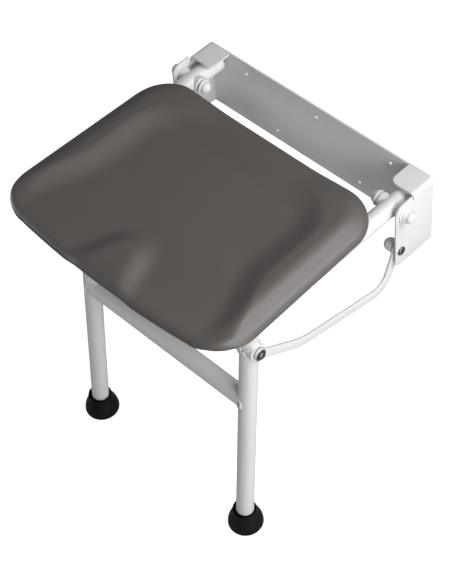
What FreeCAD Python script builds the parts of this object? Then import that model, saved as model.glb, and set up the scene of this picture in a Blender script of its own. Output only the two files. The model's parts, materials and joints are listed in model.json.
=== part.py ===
import FreeCAD, Part
import math
import os

# Fold down wall seat, in millimetres. X runs along the wall to the right, Y into the wall, Z up.
# The origin is the middle of the bracket's back face, which lies on the wall plane Y = 0.
os.makedirs("parts", exist_ok=True)

# Wall bracket, folded and welded from one sheet
sheet = 3.0
bracket_width = 404.0
bracket_height = 110.0
bracket_low = -52.0
cheek_depth = 75.0
cheek_top_corner = 14.0
cheek_low_corner = 8.0
upright_bend = 4.0
tab_width = 41.0
tab_depth = 40.0
tab_bend = 8.0
tab_corner = 10.0
tab_rear_corner = 6.0
tab_outer_corner = 12.0
relief_width = 3.0
relief_depth = 8.0
wall_hole = 6.5
upper_hole_pitch = 130.0
upper_hole_height = 38.0
lower_hole_spacing = 151.0
lower_hole_height = -35.5

# Tubes of the seat frame and of the legs
tube_radius = 12.7
tube_wall = 1.6
cross_tube_radius = 13.6

# Main hinge, where the seat frame turns in the bracket
hinge_out = 58.0
hinge_height = 38.0
hinge_room = 7.5
frame_rear_reach = 48.0
frame_front_reach = 304.0
frame_bend = 62.0

# Leg frame, hung below the seat frame on its own pivots
leg_rake = 6.2
leg_pivot_reach = 231.5
leg_pivot_drop = 21.5
leg_above_pivot = 12.0
floor_drop = 418.0
lower_cross_drop = 169.5

# Links from the bracket to the leg frame; with hinge and leg pivots they make a parallelogram
link_height = 64.4
link_thick = 4.0
link_wide = 15.0
link_eye = 9.0
link_rear_drop = 52.5
link_rear_run = 21.8
link_front_run = 74.0
link_front_drop = 47.0
link_rear_bend = 28.0
link_front_bend = 30.0
link_joggle_start = 43.0
link_joggle_run = 114.0
link_joggle_bend = 20.0

# Fasteners and small fittings
bolt_radius = 4.0
running_clearance = 0.05
face_gap = 0.1
open_pivot_clearance = 0.35
head_radius = 7.0
head_height = 4.4
socket_across = 5.0
socket_depth = 2.6
button_radius = 6.6
stub_button_radius = 5.8
button_height = 3.6
button_socket = 4.6
nut_across = 13.0
nut_height = 7.5
thin_nut_height = 4.5
washer_thick = 1.0
link_spacer = 2.5
washer_radius = 8.5
cap_dome_radius = 8.8
cap_dome_height = 8.0
cap_wall = 1.2
outer_flange_radius = 13.0
outer_collar_radius = 10.2
outer_collar = 5.0
inner_flange_radius = 11.0
flange_thick = 2.0
bush_sleeve = 6.0
bush_collar_radius = 10.0
saddle_radius = 11.5
saddle_length = 4.0
saddle_neck_radius = 8.2
saddle_neck = 3.5
plug_skirt = 16.0
plug_lip = 2.0

# Seat, from the frame's cross bars up to the moulded pad
bar_thick = 5.0
bar_wide = 30.0
rear_bar_reach = 72.0
clevis_sheet = 3.0
clevis_long = 30.0
clevis_below = 12.0
leg_side_gap = 0.4
board_thick = 6.0
board_inset = 26.0
board_corner = 34.0
pad_screw_radius = 3.0
pad_screw_head = 5.5
pad_screw_head_height = 3.0
pad_screw_bite = 4.5
pad_screw_half = 100.0
pad_rear_gap = 32.4
pad_depth = 313.0
pad_front_overhang = 29.5
pad_rear_overhang = 20.9
pad_corner = 58.0
pad_bow = 8.0
pad_rim_rise = 26.3
pad_under_inset = 9.0
pad_widest_rise = 8.5
pad_shoulder = 40.0
pad_end_roll = 9.0

# Sculpted top of the pad: a dish with sloping sides, and a pommel between two thigh scoops
dish_depth = 13.5
dish_slope = 34.0
dish_side_inset = 59.0
dish_flare = 30.0
dish_flare_reach = 120.0
dish_flare_start = 32.0
dish_rear_inset = 28.0
dish_rear_corner = 52.0
dish_over = 0.8
rear_rim_drop = 6.0
rear_rim_reach = 78.0
rear_rim_start = 16.0
rear_rim_side = 155.0
rear_rim_fade = 80.0
front_drop = 3.5
front_drop_reach = 46.0
pommel_height = 11.0
pommel_half = 50.0
pommel_taper = 0.47
pommel_flank = 38.0
pommel_length = 118.0
pommel_rise = 45.0
dish_clear = 15.0
dish_row_step = 13.0
dish_span_step = 14.0

# Feet
foot_height = 36.0
foot_base_radius = 24.0
foot_radius = 25.6
foot_cup_radius = 17.2
foot_cup_wall = 0.9
ball_radius = 6.0
ball_height = 25.0
ball_neck = 3.5
leg_end_height = 33.0
socket_floor = 26.3
insert_length = 22.0

# Places worked out from the sizes above
hinge = (-hinge_out, hinge_height)
frame_top = hinge_height + tube_radius
leg_pivot = (-hinge_out - leg_pivot_reach, hinge_height - leg_pivot_drop)
rake = math.radians(leg_rake)
down_leg = (-math.sin(rake), -math.cos(rake))
frame_half = bracket_width / 2 - sheet - hinge_room - tube_radius
leg_half = frame_half - 2 * tube_radius - clevis_sheet - leg_side_gap
pad_front_half = frame_half + pad_front_overhang
pad_rear_half = frame_half + pad_rear_overhang
link_pivot = (hinge[0] + link_height * down_leg[0], hinge[1] + link_height * down_leg[1])
stub_pivot = (leg_pivot[0] + link_height * down_leg[0], leg_pivot[1] + link_height * down_leg[1])
cheek_in = bracket_width / 2 - sheet
clevis_out = leg_half + tube_radius + leg_side_gap + clevis_sheet
stub_end = clevis_out - 0.5
floor_level = -floor_drop
leg_end_drop = (leg_pivot[1] - floor_level - leg_end_height) / math.cos(rake)
pad_rear = -hinge_out - pad_rear_gap
pad_front = pad_rear - pad_depth
SIDES = (("left", -1), ("right", 1))


def point(x, y, z):
    return FreeCAD.Vector(x, y, z)


def rod(radius, start, end):
    """A cylinder from one point to another."""
    a, b = FreeCAD.Vector(*start), FreeCAD.Vector(*end)
    return Part.makeCylinder(radius, (b - a).Length, a, b - a)


def pipe(radius, wall, start, end):
    return rod(radius, start, end).cut(rod(radius - wall, start, end))


def cross_rod(radius, x0, x1, place):
    """A cylinder along X at the place (y, z)."""
    low, high = min(x0, x1), max(x0, x1)
    return rod(radius, (low, place[0], place[1]), (high, place[0], place[1]))


def box(x0, x1, y0, y1, z0, z1):
    return Part.makeBox(x1 - x0, y1 - y0, z1 - z0, point(x0, y0, z0))


def rounded(corners, radii):
    """A closed wire in a plane through the corners, each one rounded by its own radius."""
    pts = [FreeCAD.Vector(*c) for c in corners]
    count = len(pts)
    ends = []
    for i, corner in enumerate(pts):
        before = (pts[i - 1] - corner).normalize()
        after = (pts[(i + 1) % count] - corner).normalize()
        half = before.getAngle(after) / 2
        cut = radii[i] / math.tan(half)
        middle = (before + after).normalize()
        depth = radii[i] / math.sin(half) - radii[i]
        ends.append((corner + before * cut, corner + middle * depth, corner + after * cut))
    edges = []
    for i in range(count):
        if radii[i] > 0:
            edges.append(Part.Arc(*ends[i]).toShape())
        start, stop = ends[i][2], ends[(i + 1) % count][0]
        if (stop - start).Length > 1e-6:
            edges.append(Part.LineSegment(start, stop).toShape())
    return Part.Wire(edges)


def turned(profile, place, side):
    """A ring turned about the X line through place; profile is (outward distance, radius) pairs."""
    ring = [point(side * x, place[0] + r, place[1]) for x, r in profile]
    face = Part.Face(Part.makePolygon(ring + ring[:1]))
    return face.revolve(point(0, place[0], place[1]), point(1, 0, 0), 360)


def dome(base, height, radius, place, side, outward):
    """A spherical cap standing on the plane x = base, bulging along outward."""
    ball = (radius * radius + height * height) / (2 * height)
    middle = base + outward * (height - ball)
    sphere = Part.makeSphere(ball, point(side * middle, place[0], place[1]))
    keep = cross_rod(radius + 1, side * base, side * (base + outward * (height + 1)), place)
    return sphere.common(keep)


def hex_prism(across, x0, x1, place):
    reach = across / math.sqrt(3)
    ring = []
    for k in range(6):
        turn = math.radians(60 * k)
        ring.append(point(x0, place[0] + reach * math.cos(turn), place[1] + reach * math.sin(turn)))
    return Part.Face(Part.makePolygon(ring + ring[:1])).extrude(point(x1 - x0, 0, 0))


def on_leg(distance):
    """The place (y, z) at a distance down the raked leg from its pivot."""
    return (leg_pivot[0] + distance * down_leg[0], leg_pivot[1] + distance * down_leg[1])


def leg_line(x, distance):
    place = on_leg(distance)
    return (x, place[0], place[1])


def wall_bracket():
    half, low, top = bracket_width / 2, bracket_low, bracket_low + bracket_height
    outer = rounded([(-half, 0, low), (half, 0, low), (half, -cheek_depth, low), (-half, -cheek_depth, low)],
                    [upright_bend, upright_bend, 0, 0])
    inner = rounded([(-half + sheet, -sheet, low), (half - sheet, -sheet, low),
                     (half - sheet, -cheek_depth - sheet, low), (-half + sheet, -cheek_depth - sheet, low)],
                    [upright_bend - sheet, upright_bend - sheet, 0, 0])
    up = point(0, 0, bracket_height)
    filled = Part.Face(outer).extrude(up)
    channel = filled.cut(Part.Face(inner).extrude(up))
    side_view = rounded([(-half, 0, low), (-half, -cheek_depth, low), (-half, -cheek_depth, top), (-half, 0, top)],
                        [0, cheek_low_corner, cheek_top_corner, 0])
    shape = channel.common(Part.Face(side_view).extrude(point(bracket_width, 0, 0)))
    for name, side in SIDES:
        edge = side * half
        shape = shape.cut(box(min(edge, edge - side * sheet), max(edge, edge - side * sheet),
                              -tab_depth, 0, top - tab_bend, top))
        corner = edge - side * tab_outer_corner
        shape = shape.cut(box(min(edge, corner), max(edge, corner), -tab_outer_corner, 0, top - tab_bend, top))
        bend = rounded([(edge, -tab_depth, top - tab_bend), (edge, -tab_depth, top),
                        (edge - side * tab_width, -tab_depth, top),
                        (edge - side * tab_width, -tab_depth, top - sheet),
                        (edge - side * sheet, -tab_depth, top - sheet),
                        (edge - side * sheet, -tab_depth, top - tab_bend)],
                       [0, tab_bend - 0.01, 0, 0, tab_bend - sheet - 0.01, 0])
        tab = Part.Face(bend).extrude(point(0, tab_depth, 0)).common(filled)
        corner_x = edge - side * tab_width
        plan = rounded([(corner_x, 0, top - tab_bend), (corner_x, -tab_depth, top - tab_bend),
                        (edge, -tab_depth, top - tab_bend), (edge, 0, top - tab_bend)],
                       [tab_rear_corner, tab_corner, 0, tab_outer_corner])
        tab = tab.common(Part.Face(plan).extrude(point(0, 0, tab_bend)))
        shape = shape.fuse(tab)
        notch = box(min(edge, edge - side * sheet * 1.01), max(edge, edge - side * sheet * 1.01),
                    -tab_depth - relief_width, -tab_depth, top - relief_depth, top)
        shape = shape.cut(notch)
        for place in (hinge, link_pivot):
            hole = cross_rod(bolt_radius + running_clearance, edge - side * 2 * sheet, edge + side, place)
            shape = shape.cut(hole)
    for x, z in wall_holes():
        shape = shape.cut(rod(wall_hole / 2, (x, -2 * sheet, z), (x, 1, z)))
    return shape.removeSplitter()


def wall_holes():
    upper = [(k * upper_hole_pitch, upper_hole_height) for k in (-1, 0, 1)]
    lower = [(k * lower_hole_spacing / 2, lower_hole_height) for k in (-1, 1)]
    return upper + lower


def bolt(x_head, x_tip, place, side):
    """A round headed bolt along X with a hexagon socket; its head sits outside x_head."""
    shank = cross_rod(bolt_radius, side * x_head, side * x_tip, place)
    head = dome(x_head, head_height, head_radius, place, side, 1)
    top = x_head + head_height
    socket = hex_prism(socket_across, side * (top - socket_depth), side * (top + 1), place)
    return shank.fuse(head).cut(socket)


def nut(x_face, place, side, height=nut_height):
    """A lock nut on a bolt, running inwards from x_face, with its rounded collar at the end."""
    flat = height * 0.72
    body = hex_prism(nut_across, side * (x_face - flat), side * x_face, place)
    collar = cross_rod(nut_across / 2 - 0.6, side * (x_face - height), side * (x_face - flat), place)
    hole = cross_rod(bolt_radius + running_clearance, side * (x_face - height - 1), side * (x_face + 1), place)
    return body.fuse(collar).cut(hole)


def flange_x(outer):
    """Where the cap flange lies against the cheek outside, or against the saddle inside."""
    if outer:
        return bracket_width / 2 + face_gap / 2
    return frame_half - tube_radius - saddle_length - saddle_neck - face_gap


def cap_flange(side, outer):
    base, way = flange_x(outer), 1 if outer else -1
    radius = outer_flange_radius if outer else inner_flange_radius
    bore = bolt_radius + running_clearance
    rim = base + way * flange_thick
    profile = [(base, bore), (base, radius), (base + way * flange_thick * 0.5, radius), (rim, radius - 1.2)]
    if outer:
        profile += [(rim, outer_collar_radius), (cap_base(outer), outer_collar_radius - 0.6)]
    return turned(profile + [(cap_base(outer), bore)], hinge, side)


def cap_base(outer):
    """Where a cap's dome and its bolt head or nut start, outside or inside."""
    if outer:
        return flange_x(True) + flange_thick + outer_collar
    return flange_x(False) - flange_thick


def cap_dome(side, outer, place=None, base=None, dome_radius=None, height=None):
    way = 1 if outer else -1
    spot = hinge if place is None else place
    start = cap_base(outer) if base is None else base
    radius = cap_dome_radius if dome_radius is None else dome_radius
    rise = cap_dome_height if height is None else height
    skirt = rise * 0.35
    crown = dome(start + way * skirt, rise - skirt, radius, spot, side, way)
    hollow = dome(start + way * skirt, rise - skirt - cap_wall, radius - cap_wall, spot, side, way)
    wall = cross_rod(radius, side * start, side * (start + way * skirt), spot)
    bore = cross_rod(radius - cap_wall, side * start, side * (start + way * skirt), spot)
    return wall.fuse(crown).cut(bore).cut(hollow).removeSplitter()


def hinge_bolt(side):
    return bolt(cap_base(True), cap_base(False) - thin_nut_height * 0.9, hinge, side)


def hinge_nut(side):
    return nut(cap_base(False), hinge, side, thin_nut_height)


def hinge_bush(side):
    """A collar that fills the gap from cheek to tube, with a sleeve through the tube."""
    sleeve_end = frame_half - tube_radius
    collar = cross_rod(bush_collar_radius, side * frame_half, side * (cheek_in - face_gap), hinge)
    collar = collar.cut(frame_side(side))
    sleeve = cross_rod(bush_sleeve, side * sleeve_end, side * (cheek_in - face_gap), hinge)
    bore = cross_rod(bolt_radius + running_clearance, side * (sleeve_end - 1), side * cheek_in, hinge)
    return collar.fuse(sleeve).cut(bore).removeSplitter()


def hinge_saddle(side):
    """The dished washer inside the tube: a broad saddle, then a narrow neck."""
    face = frame_half - tube_radius
    broad = cross_rod(saddle_radius, side * frame_half, side * (face - saddle_length), hinge)
    neck = cross_rod(saddle_neck_radius, side * (face - saddle_length),
                     side * (face - saddle_length - saddle_neck), hinge)
    bore = cross_rod(bolt_radius + running_clearance, side * (face - saddle_length - saddle_neck - 1),
                     side * face, hinge)
    wide_bore = cross_rod(bush_sleeve, side * face, side * (frame_half + 1), hinge)
    return broad.cut(frame_side(side)).fuse(neck).cut(bore).cut(wide_bore).removeSplitter()


def frame_side(side):
    """One straight side of the seat frame, as a solid rod."""
    rear = (side * frame_half, hinge[0] + frame_rear_reach, hinge[1])
    front = (side * frame_half, hinge[0] - frame_front_reach + frame_bend, hinge[1])
    return rod(tube_radius, rear, front)


def bend_piece(side, radius):
    """The round bend from a side of the seat frame to its front."""
    y = hinge[0] - frame_front_reach + frame_bend
    middle = point(side * (frame_half - frame_bend), y, hinge[1])
    ring = Part.makeCircle(radius, point(side * frame_half, y, hinge[1]), point(0, 1, 0))
    return Part.Face(Part.Wire(ring)).revolve(middle, point(0, 0, 1), -90 * side)


def frame_solid(radius):
    """The whole bent frame as a solid rod of a radius."""
    front_y = hinge[0] - frame_front_reach
    reach = frame_half - frame_bend
    whole = rod(radius, (-reach, front_y, hinge[1]), (reach, front_y, hinge[1]))
    for name, side in SIDES:
        rear = (side * frame_half, hinge[0] + frame_rear_reach, hinge[1])
        start = (side * frame_half, front_y + frame_bend, hinge[1])
        whole = whole.fuse(rod(radius, rear, start)).fuse(bend_piece(side, radius))
    return whole


def seat_frame():
    shape = frame_solid(tube_radius).cut(frame_solid(tube_radius - tube_wall))
    for name, side in SIDES:
        inside, outside = frame_half - tube_radius - 1, frame_half + tube_radius + 1
        hole = cross_rod(bush_sleeve, side * inside, side * outside, hinge)
        shape = shape.cut(hole)
    return shape.removeSplitter()


def tube_plug(side):
    """A domed plastic plug in the rear end of a frame side."""
    end = hinge[0] + frame_rear_reach
    inner = tube_radius - tube_wall
    ring = [(0, end - plug_skirt), (inner - 2, end - plug_skirt), (inner, end - plug_skirt + 2), (inner, end),
            (tube_radius, end), (tube_radius, end + plug_lip * 0.4), (tube_radius - 2.5, end + plug_lip),
            (0, end + plug_lip)]
    outline = [point(side * frame_half + r, y, hinge[1]) for r, y in ring]
    face = Part.Face(Part.makePolygon(outline + outline[:1]))
    axis = point(side * frame_half, end, hinge[1])
    body = face.revolve(axis, point(0, 1, 0), 360)
    return body


def screw_places(y):
    return [(k * pad_screw_half, y) for k in (-1, 1)]


def cross_bar(y):
    """A flat bar under the seat board, coped over the round of both frame sides."""
    bar = box(-frame_half, frame_half, y - bar_wide / 2, y + bar_wide / 2, frame_top - bar_thick, frame_top)
    bar = max(bar.cut(frame_solid(tube_radius)).Solids, key=lambda piece: piece.Volume)
    for x, yy in screw_places(y):
        bar = bar.cut(rod(pad_screw_radius + 0.4, (x, yy, frame_top - bar_thick - 1), (x, yy, frame_top + 1)))
    return bar


def front_bar_y():
    return leg_pivot[0]


def rear_bar_y():
    return hinge[0] - rear_bar_reach


def leg_clevis(side):
    """A bent strap welded under the front bar; the leg's top hangs between its two ears."""
    outer, inner = clevis_out, clevis_out - 2 * clevis_sheet - 2 * leg_side_gap - 2 * tube_radius
    top = frame_top - bar_thick
    low = leg_pivot[1] - clevis_below
    y0, y1 = leg_pivot[0] - clevis_long / 2, leg_pivot[0] + clevis_long / 2
    ends = sorted((side * inner, side * outer))
    block = box(ends[0], ends[1], y0, y1, low, top)
    room = sorted((side * (inner + clevis_sheet), side * (outer - clevis_sheet)))
    block = block.cut(box(room[0], room[1], y0 - 1, y1 + 1, low - 1, top - clevis_sheet))
    side_view = rounded([(ends[0], y0, top), (ends[0], y1, top), (ends[0], y1, low), (ends[0], y0, low)],
                        [0, 0, clevis_below * 0.95, clevis_below * 0.95])
    block = block.common(Part.Face(side_view).extrude(point(ends[1] - ends[0], 0, 0)))
    hole = cross_rod(bolt_radius + running_clearance, side * (inner - 1), side * (outer + 1), leg_pivot)
    block = block.cut(hole).cut(frame_solid(tube_radius))
    return max(block.Solids, key=lambda piece: piece.Volume)


def leg_pivot_bolt(side):
    tip = clevis_out - 2 * clevis_sheet - 2 * leg_side_gap - 2 * tube_radius - nut_height * 0.9
    return bolt(clevis_out, tip, leg_pivot, side)


def leg_pivot_nut(side):
    return nut(clevis_out - 2 * clevis_sheet - 2 * leg_side_gap - 2 * tube_radius, leg_pivot, side)


def leg_sleeve(side):
    """A steel sleeve across the leg, so that the pivot bolt doesn't crush the tube."""
    ends = (side * (leg_half - tube_radius), side * (leg_half + tube_radius))
    sleeve = cross_rod(bush_sleeve, ends[0], ends[1], leg_pivot)
    bore = cross_rod(bolt_radius + 1.5 * running_clearance, ends[0] - side, ends[1] + side, leg_pivot)
    return sleeve.cut(bore)


def leg_tube(side):
    x = side * leg_half
    tube = pipe(tube_radius, tube_wall, leg_line(x, -leg_above_pivot), leg_line(x, leg_end_drop))
    tube = tube.cut(cross_rod(bush_sleeve, x - tube_radius - 1, x + tube_radius + 1, leg_pivot))
    return tube.cut(cross_rod(bolt_radius + running_clearance, x, x + side * (tube_radius + 1), stub_pivot))


def leg_solid(side):
    x = side * leg_half
    return rod(tube_radius, leg_line(x, -leg_above_pivot), leg_line(x, leg_end_drop))


def leg_cap(side):
    """The plug that closes the top of a leg."""
    x = side * leg_half
    inner = tube_radius - tube_wall
    skirt = rod(inner, leg_line(x, -leg_above_pivot), leg_line(x, -leg_above_pivot + 5))
    lip = rod(tube_radius, leg_line(x, -leg_above_pivot - plug_lip), leg_line(x, -leg_above_pivot))
    lip = lip.makeChamfer(1.2, [e for e in lip.Edges if is_rim(e, leg_line(x, -leg_above_pivot - plug_lip))])
    return lip.fuse(skirt).removeSplitter()


def is_rim(edge, centre):
    return (edge.CenterOfMass - FreeCAD.Vector(*centre)).Length < 0.5 and len(edge.Vertexes) == 1


def leg_cross(place, radius):
    """A cross tube whose ends are mitred round the legs."""
    tube = rod(radius, (-leg_half, place[0], place[1]), (leg_half, place[0], place[1]))
    tube = tube.cut(rod(radius - tube_wall, (-leg_half, place[0], place[1]), (leg_half, place[0], place[1])))
    for name, side in SIDES:
        tube = tube.cut(leg_solid(side))
    pieces = sorted(tube.Solids, key=lambda s: s.Volume)
    return pieces[-1]


def link_stub(side):
    """A boss welded on the outside of the leg, drilled for the link screw."""
    boss = cross_rod(tube_radius, side * leg_half, side * stub_end, stub_pivot).cut(leg_solid(side))
    hole = cross_rod(bolt_radius + running_clearance, side * leg_half, side * (stub_end + 1), stub_pivot)
    boss = boss.cut(hole)
    return sorted(boss.Solids, key=lambda s: s.Volume)[-1]


def link_x():
    """Middle planes of the link at its bracket end and at its leg end."""
    rear = cheek_in - link_spacer - face_gap - link_thick / 2
    front = stub_end + washer_thick + face_gap + link_thick / 2
    return rear, front


def link_route():
    """Centreline corners of the link in side view, from the bracket pivot to the leg pivot."""
    return [link_pivot, (link_pivot[0] - link_rear_run, link_pivot[1] - link_rear_drop),
            (stub_pivot[0] + link_front_run, stub_pivot[1] - link_front_drop), stub_pivot]


def strip(corners, radii, width, to_3d):
    """A flat strip of a width along a centreline whose corners are rounded."""
    count = len(corners)
    left, right = [], []
    for i in range(count):
        a = corners[max(i - 1, 0)]
        b = corners[i]
        c = corners[min(i + 1, count - 1)]
        d1 = unit(b[0] - a[0], b[1] - a[1]) if i > 0 else unit(c[0] - b[0], c[1] - b[1])
        d2 = unit(c[0] - b[0], c[1] - b[1]) if i < count - 1 else d1
        normal = unit(-(d1[1] + d2[1]), d1[0] + d2[0])
        spread = width / 2 / (normal[0] * -d1[1] + normal[1] * d1[0])
        left.append((b[0] + normal[0] * spread, b[1] + normal[1] * spread))
        right.append((b[0] - normal[0] * spread, b[1] - normal[1] * spread))
    radii_left, radii_right = [0.0] * count, [0.0] * count
    for i in range(1, count - 1):
        a, b, c = corners[i - 1], corners[i], corners[i + 1]
        turn = (b[0] - a[0]) * (c[1] - b[1]) - (b[1] - a[1]) * (c[0] - b[0])
        sign = 1 if turn > 0 else -1
        radii_left[i] = radii[i] - sign * width / 2
        radii_right[i] = radii[i] + sign * width / 2
    ring = left + right[::-1]
    return rounded([to_3d(*p) for p in ring], radii_left + radii_right[::-1])


def unit(a, b):
    size = math.hypot(a, b)
    return (a / size, b / size)


def link(side):
    """A flat bar bent twice in side view, with a sideways joggle between cheek and leg."""
    rear_x, front_x = link_x()
    route = link_route()
    low_x, high_x = min(rear_x, front_x) - link_thick, max(rear_x, front_x) + link_thick
    wire = strip(route, [0, link_rear_bend, link_front_bend, 0], link_wide, lambda y, z: (low_x, y, z))
    bar = Part.Face(wire).extrude(point(high_x - low_x, 0, 0))
    for end in (route[0], route[-1]):
        bar = bar.fuse(cross_rod(link_eye, low_x, high_x, end))
    start = link_pivot[0] - link_joggle_start
    plan_route = [(link_pivot[0] + 3 * link_eye, rear_x), (start, rear_x),
                  (start - link_joggle_run, front_x), (stub_pivot[0] - 3 * link_eye, front_x)]
    base = stub_pivot[1] - link_front_drop - 3 * link_eye
    plan = strip(plan_route, [0, link_joggle_bend, link_joggle_bend, 0], link_thick, lambda y, x: (x, y, base))
    sheet_part = Part.Face(plan).extrude(point(0, 0, link_pivot[1] + 3 * link_eye - base))
    shape = bar.common(sheet_part)
    shape = shape.cut(cross_rod(bolt_radius + running_clearance, low_x, high_x, link_pivot))
    shape = shape.cut(cross_rod(bolt_radius + open_pivot_clearance, low_x, high_x, stub_pivot))
    shape = shape.removeSplitter()
    if side < 0:
        shape = shape.mirror(point(0, 0, 0), point(1, 0, 0))
    return shape


def washer(x0, x1, place, side):
    ring = cross_rod(washer_radius, side * x0, side * x1, place)
    return ring.cut(cross_rod(bolt_radius + running_clearance, side * (x0 - 1), side * (x1 + 1), place))


def link_washers(side):
    """Washers on the bracket pivot, one each side of the link."""
    rear_x = link_x()[0]
    out_face = rear_x + link_thick / 2
    in_face = rear_x - link_thick / 2
    first = washer(out_face + face_gap / 2, out_face + face_gap / 2 + link_spacer, link_pivot, side)
    second = washer(in_face - face_gap / 2 - washer_thick, in_face - face_gap / 2, link_pivot, side)
    return Part.makeCompound([first, second])


def stub_washers(side):
    """Washers on the leg pivot, one each side of the link."""
    front_x = link_x()[1]
    in_face = front_x - link_thick / 2
    out_face = front_x + link_thick / 2
    first = washer(in_face - face_gap / 2 - washer_thick, in_face - face_gap / 2, stub_pivot, side)
    second = washer(out_face + face_gap / 2, out_face + face_gap / 2 + washer_thick, stub_pivot, side)
    return Part.makeCompound([first, second])


def button_screw(x_head, x_tip, place, side, radius):
    """A button headed socket screw along X with its head outside x_head."""
    shank = cross_rod(bolt_radius, side * x_head, side * x_tip, place)
    head = dome(x_head, button_height, radius, place, side, 1)
    top = x_head + button_height
    socket = hex_prism(button_socket, side * (top - button_height * 0.6), side * (top + 1), place)
    return head.cut(socket).fuse(shank).removeSplitter()


def link_bolt(side):
    inner = link_nut_face() - nut_height * 0.9
    return button_screw(bracket_width / 2 + face_gap / 2, inner, link_pivot, side, button_radius)


def link_nut_face():
    return link_x()[0] - link_thick / 2 - face_gap / 2 - washer_thick


def link_nut(side):
    return nut(link_nut_face(), link_pivot, side)


def link_cap(side):
    """A domed cover over the nut on the bracket pivot."""
    return cap_dome(side, False, link_pivot, link_nut_face(), cap_dome_radius, 2 * cap_dome_height)


def stub_screw(side):
    front_x = link_x()[1]
    head = front_x + link_thick / 2 + face_gap / 2 + washer_thick
    return button_screw(head, leg_half + 2 * face_gap, stub_pivot, side, stub_button_radius)


def ball_place(side):
    """Centre of the foot's ball joint, on the leg's own axis."""
    distance = (leg_pivot[1] - floor_level - ball_height) / math.cos(rake)
    return leg_line(side * leg_half, distance)


def foot_insert(side):
    """A plug in the leg's end that carries a ball on a short neck."""
    x = side * leg_half
    inner = tube_radius - tube_wall
    plug = rod(inner, leg_line(x, leg_end_drop - insert_length), leg_line(x, leg_end_drop))
    lip = rod(tube_radius, leg_line(x, leg_end_drop), leg_line(x, leg_end_drop + plug_lip * 0.75))
    centre = FreeCAD.Vector(*ball_place(side))
    ball = Part.makeSphere(ball_radius, centre)
    neck = rod(ball_neck, leg_line(x, leg_end_drop), tuple(centre))
    return plug.fuse(lip).fuse(neck).fuse(ball).removeSplitter()


def foot(side):
    """A domed rubber foot with a cup round the leg's end and a socket for the ball."""
    centre = FreeCAD.Vector(*ball_place(side))
    cup_in = foot_cup_radius - foot_cup_wall
    floor_z = floor_level
    start = point(centre.x, centre.y, floor_z)

    def spot(r, h):
        return start + point(r, 0, h)

    edge_round = foot_height / 12
    edge = spot(foot_base_radius - edge_round / 3, 0)
    low = spot(foot_radius, edge_round)
    middle = spot(foot_radius * 0.914, foot_height * 0.444)
    high = spot(foot_cup_radius, foot_height * 0.93)
    edges = [
        Part.LineSegment(spot(0, 0.0), edge),
        Part.Arc(edge, spot(foot_base_radius + edge_round * 0.3, edge_round * 0.3), low),
        Part.Arc(low, spot(foot_radius * 0.988, foot_height * 0.25), middle),
        Part.Arc(middle, spot(foot_radius * 0.805, foot_height * 0.68), high),
        Part.LineSegment(high, spot(foot_cup_radius, foot_height)),
        Part.LineSegment(spot(foot_cup_radius, foot_height), spot(cup_in, foot_height)),
        Part.LineSegment(spot(cup_in, foot_height), spot(cup_in, socket_floor)),
        Part.LineSegment(spot(cup_in, socket_floor), spot(0, socket_floor)),
        Part.LineSegment(spot(0, socket_floor), spot(0, 0.0)),
    ]
    face = Part.Face(Part.Wire([e.toShape() for e in edges]))
    body = face.revolve(start, point(0, 0, 1), 360)
    return body.cut(Part.makeSphere(ball_radius + running_clearance, centre))


def board_blank():
    wire = outline_wire(board_inset, board_inset, board_corner, frame_top, 0)
    return Part.Face(wire).extrude(point(0, 0, board_thick))


def seat_board():
    """The stiff board under the pad, with the pad's outline drawn in all round."""
    board = board_blank()
    for y in (front_bar_y(), rear_bar_y()):
        for x, yy in screw_places(y):
            board = board.cut(rod(pad_screw_radius + running_clearance, (x, yy, frame_top - 1),
                                  (x, yy, frame_top + pad_screw_bite + 0.3)))
    return board


def pad_screws():
    """Round headed screws up through the two bars into the board."""
    under = frame_top - bar_thick
    screws = []
    for y in (rear_bar_y(), front_bar_y()):
        for x, yy in screw_places(y):
            shank = rod(pad_screw_radius, (x, yy, under), (x, yy, frame_top + pad_screw_bite))
            head = Part.makeCone(pad_screw_head - 1.6, pad_screw_head, pad_screw_head_height,
                                 point(x, yy, under - pad_screw_head_height), point(0, 0, 1))
            slot = Part.makeCylinder(2.0, 1.6, point(x, yy, under - pad_screw_head_height), point(0, 0, 1))
            screws.append(shank.fuse(head).cut(slot))
    return Part.makeCompound(screws)


def outline_wire(side_inset, end_inset, corner, z, bow):
    """The pad's outline from above: a tapered square, wider in front, with a bowed front edge."""
    yf, yb = pad_front + pad_bow + end_inset, pad_rear - end_inset
    wf, wb = pad_front_half - side_inset, pad_rear_half - side_inset
    base = rounded([(-wf, yf, z), (wf, yf, z), (wb, yb, z), (-wb, yb, z)], [corner] * 4)
    if bow <= 0:
        return base
    edges = []
    for edge in base.Edges:
        a, b = edge.Vertexes[0].Point, edge.Vertexes[-1].Point
        if abs(a.y - yf) < 0.01 and abs(b.y - yf) < 0.01:
            edges.append(Part.Arc(a, point(0, yf - bow, z), b).toShape())
        else:
            edges.append(edge)
    return Part.Wire(Part.__sortEdges__(edges))


def ease(t):
    """Rises smoothly from 0 to 1."""
    t = min(1.0, max(0.0, t))
    return t * t * (3 - 2 * t)


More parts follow.
